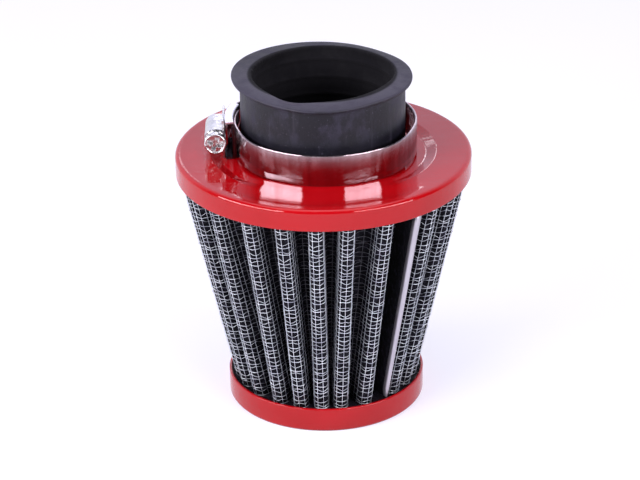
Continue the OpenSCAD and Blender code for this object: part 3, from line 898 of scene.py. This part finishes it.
def clamp_housing():
    """Tunnel over the worm: an arch with legs and a brim, carried along the screw, and an end wall."""
    low, high = node_box("clamp_housing")
    tunnel, wall, brim = 2.6, 0.4, 0.6
    foot = high[0] - SCREW_X
    half = (high[2] - low[2]) / 2
    arch = np.radians(np.linspace(90, 270, 25))
    bow = np.stack([np.cos(arch), np.sin(arch)], axis=-1)
    legs = rounded([
        (foot, -tunnel, 0.05), (foot, -half, 0.2), (foot - brim, -half, 0.2),
        (foot - brim, -tunnel - wall, 0.4),
    ], 4)
    other = legs[::-1] * [1, -1]
    profile = np.concatenate([(tunnel + wall) * bow, legs[::-1], tunnel * bow[::-1], other[::-1]])[::-1]
    along = np.linspace(low[1], high[1], 9)[:, None]
    grid = np.stack(np.broadcast_arrays(SCREW_X + profile[:, 0], along, SCREW_Z + profile[:, 1]), axis=-1)
    faces = capped_faces(*grid.shape[:2])
    sharpen(make_piece("housing", grid, faces, ZINC, ["clamp_housing"]))
    columns, hole_r, wall_r = 48, 1.78, tunnel + 0.2
    front, back = low[1] + 0.02, low[1] + 0.6
    around = np.radians(np.linspace(0, 360, columns, endpoint=False))
    ring = rounded([(hole_r, front, 0.1), (wall_r, front, 0), (wall_r, back, 0), (hole_r, back, 0)], 3)
    x = np.minimum(ring[:, :1] * np.cos(around), foot - 0.15)
    grid = np.stack([SCREW_X + x, ring[:, 1:] + 0 * around, SCREW_Z + ring[:, :1] * np.sin(around)], axis=-1)
    faces = [grid_faces(len(ring), columns, wrap_rows=True)[:, ::-1]]
    make_piece("housing_end", grid, faces, ZINC, ["clamp_housing"])


WORM_PITCH = 1.6
WORM_DEEP = 0.65
HEAD_DISH = 0.45
CROSS_TURN = 0.35
CROSS_DEEP = 1.15


def clamp_screw():
    """The screw about its own axis, from the middle of its head to its tip: dished head with a raised rim and
    a cross recess, plain shank, and a worm whose radius follows the turn less the distance along it."""
    head_r, head_t, shank_r, worm_r, gap = 2.9, 2.2, 1.7, 2.45, 1.0
    length = SCREW_BACK - SCREW_FRONT
    worm_from, worm_to = head_t + gap + 0.8, length - 0.3
    face = [(r, HEAD_DISH) for r in np.linspace(0.08, head_r - 0.7, 26)]
    rim = [(head_r - 0.5, 0.05), (head_r - 0.3, 0), (head_r - 0.12, 0.05), (head_r, 0.25)]
    shank = [(head_r, head_t - 0.3), (head_r - 0.2, head_t), (shank_r, head_t), (shank_r, worm_from)]
    worm = [(worm_r, y) for y in np.linspace(worm_from, worm_to, 64)]
    tip = [(shank_r, length), (0.5, length)]
    profile = np.array(face + rim + shank + worm + tip)
    rows, columns = len(profile), 96
    around = np.radians(np.arange(columns) * 360 / columns)
    r, y = profile[:, :1] + 0 * around, profile[:, 1:] + 0 * around
    arm_half, arm_end = 0.62, 2.0
    arm = np.minimum(np.abs(r * np.sin(around + CROSS_TURN)), np.abs(r * np.cos(around + CROSS_TURN)))
    cross = np.clip((arm_half - arm) / 0.25, 0, 1) * np.clip((arm_end - r) / 0.35, 0, 1)
    on_face = (y < 0.5) & (r < head_r - 0.6)
    y = y + cross * on_face * CROSS_DEEP
    on_worm = (r > shank_r + 0.1) & (y >= worm_from) & (y <= worm_to)
    phase = (around / (2 * np.pi) - y / WORM_PITCH) % 1
    tooth = np.clip(np.abs(phase - 0.5) * 4 - 0.5, 0, 1)
    r = np.where(on_worm, r - WORM_DEEP * (1 - tooth), r)
    grid = np.stack([SCREW_X + r * np.cos(around), SCREW_FRONT + y, SCREW_Z + r * np.sin(around)], axis=-1)
    poles = [[SCREW_X, SCREW_FRONT + HEAD_DISH + CROSS_DEEP, SCREW_Z], [SCREW_X, SCREW_BACK, SCREW_Z]]
    points = np.concatenate([grid.reshape(-1, 3), poles])
    faces = [group[:, ::-1] for group in poled_faces(rows, columns)]
    sharpen(make_piece("screw", points, faces, ZINC, ["clamp_screw"], body="screw"), 50)


rubber_neck()
top_plate()
end_cap()
lower_sealant()
filter_media()
wire_meshes()
seam_strip()
clamp_band()
clamp_saddle()
clamp_housing()
clamp_screw()
frame["nodes"]["upper_sealant"].data.materials.clear()
frame["nodes"]["upper_sealant"].data.materials.append(SEALANT.material)


# Studio: white floor and background, softboxes beside and above the camera, two small cards behind

DARK_ROOM = 0.04
DARK_TO, WHITE_FROM = 0.05, 0.55
EVEN_LIGHT = 0.15
ROOM_TINT = (1.1, 1.1, 1.35)
FLOOR_HALF = 3000
FLOOR_GLOW = (0.58, 0.58, 0.68)
GLOW_FROM, GLOW_TO = 300, 900
SOFTBOX_DISTANCE = 700
SOFTBOX_AIM = (0, 0, 60)
SOFTBOX_TINT = (1.0, 0.95, 1.02)
RAYS = ("Is Camera Ray", "Is Glossy Ray", "Is Transmission Ray")


def floor():
    """Plain white floor under the end cap. Seen by the camera it is white, with the object's soft shadow:
    near the object the lamps add to its own glow, and further out the glow alone reaches white."""
    half = FLOOR_HALF * MM
    mesh = bpy.data.meshes.new("floor")
    corners = [(-half, -half, 0), (half, -half, 0), (half, half, 0), (-half, half, 0)]
    mesh.from_pydata(corners, [], [(0, 1, 2, 3)])
    piece = bpy.data.objects.new("floor", mesh)
    bpy.context.scene.collection.objects.link(piece)
    finish = Finish("floor_white", (0.45, 0.45, 0.45), 0.9, Specular_IOR_Level=0.0)
    seen = [finish.node("ShaderNodeLightPath", {}, out=ray) for ray in RAYS]
    share = finish.node("ShaderNodeMath", {0: seen[0] + seen[1] + seen[2], 1: 1.0}, operation="MINIMUM")
    finish.shader.inputs["Emission Strength"].default_value = 1.0
    far = finish.radius().between(GLOW_FROM * MM, GLOW_TO * MM)
    glow = finish.mix(far, FLOOR_GLOW, (1, 1, 1))
    finish.feed("Emission Color", finish.mix(share, (0, 0, 0), glow))
    mesh.materials.append(finish.material)


def world():
    """A white studio behind the object and to its sides, and a dark room behind the camera, which gloss
    and metal show. The camera sees white everywhere, and the room's even light is pale."""
    scene_world = bpy.data.worlds.new("studio")
    bpy.context.scene.world = scene_world
    scene_world.use_nodes = True
    tree = scene_world.node_tree
    way = add_node(tree, "ShaderNodeTexCoord", {}, out="Generated")
    to_back = add_node(tree, "ShaderNodeSeparateXYZ", {0: way}, out="Y")
    shades = {"Value": to_back, "From Min": DARK_TO, "From Max": WHITE_FROM, "To Min": DARK_ROOM,
              "To Max": 1.0}
    room = add_node(tree, "ShaderNodeMapRange", shades)
    camera_ray, glossy_ray, clear_ray = [add_node(tree, "ShaderNodeLightPath", {}, out=ray) for ray in RAYS]
    gloss = add_node(tree, "ShaderNodeMix", {0: glossy_ray, 2: EVEN_LIGHT, 3: room})
    white = add_node(tree, "ShaderNodeMath", {0: camera_ray, 1: clear_ray}, operation="MAXIMUM")
    level = add_node(tree, "ShaderNodeMix", {0: white, 2: gloss, 3: 1.0})
    tints = {0: white, 6: (*ROOM_TINT, 1), 7: (1, 1, 1, 1)}
    tint = add_node(tree, "ShaderNodeMix", tints, out=2, data_type="RGBA")
    background = tree.nodes["Background"]
    tree.links.new(level, background.inputs["Strength"])
    tree.links.new(tint, background.inputs["Color"])


def softbox(name, turn, rise, size, brightness):
    """A rectangular lamp at a turn and a rise, in degrees, that faces the filter. Brightness is what the
    camera would see of it, where 1 is white."""
    lamp = bpy.data.lights.new(name, "AREA")
    lamp.shape = "RECTANGLE"
    lamp.size, lamp.size_y = (s * MM for s in size)
    lamp.energy = math.pi * lamp.size * lamp.size_y * brightness
    lamp.color = SOFTBOX_TINT
    piece = bpy.data.objects.new(name, lamp)
    bpy.context.scene.collection.objects.link(piece)
    turn, rise = math.radians(turn), math.radians(rise)
    back = np.array([math.cos(turn) * math.cos(rise), math.sin(turn) * math.cos(rise), math.sin(rise)])
    right = np.array([-math.sin(turn), math.cos(turn), 0])
    place = np.eye(4)
    place[:3, 0], place[:3, 1], place[:3, 2] = right, np.cross(back, right), back
    place[:3, 3] = (back * SOFTBOX_DISTANCE + SOFTBOX_AIM) * MM
    piece.matrix_world = Matrix(place)


floor()
world()
softbox("left_softbox", -148, 21.4, (700, 172), 18)
softbox("right_softbox", -44, 21.4, (580, 172), 15)
softbox("top_softbox", -90, 88, (620, 620), 2)
softbox("back_card", 91, 21.7, (86, 62), 5)
softbox("side_card", 102, 26.5, (90, 44), 2.5)


# Camera, at the photograph's viewing angle

VIEW_ELEVATION = 25.64
VIEW_DISTANCE = 768.9
VIEW_HEIGHT = 45.0
VIEW_ROLL = -0.78
PHOTO_W = 640
FOCAL_PX = 2825.8
CENTRE_SHIFT_PX = (4.56, -0.71)


def camera():
    """Camera in front of the filter, looking down at it, turned a little about its own axis."""
    data = bpy.data.cameras.new("camera")
    data.sensor_width = 36
    data.lens = FOCAL_PX / PHOTO_W * data.sensor_width
    data.shift_x = -CENTRE_SHIFT_PX[0] / PHOTO_W
    data.shift_y = CENTRE_SHIFT_PX[1] / PHOTO_W
    data.clip_start, data.clip_end = 0.01, 20
    piece = bpy.data.objects.new("camera", data)
    bpy.context.scene.collection.objects.link(piece)
    rise, roll = math.radians(VIEW_ELEVATION), math.radians(VIEW_ROLL)
    back = np.array([0, -math.cos(rise), math.sin(rise)])
    right = np.array([1.0, 0, 0])
    up = np.cross(back, right)
    turn = np.eye(4)
    turn[:3, 0] = math.cos(roll) * right + math.sin(roll) * up
    turn[:3, 1] = math.cos(roll) * up - math.sin(roll) * right
    turn[:3, 2] = back
    turn[:3, 3] = (back * VIEW_DISTANCE + [0, 0, VIEW_HEIGHT]) * MM
    piece.matrix_world = Matrix(turn)
    bpy.context.scene.camera = piece


camera()
bpy.context.scene.view_settings.view_transform = "Standard"
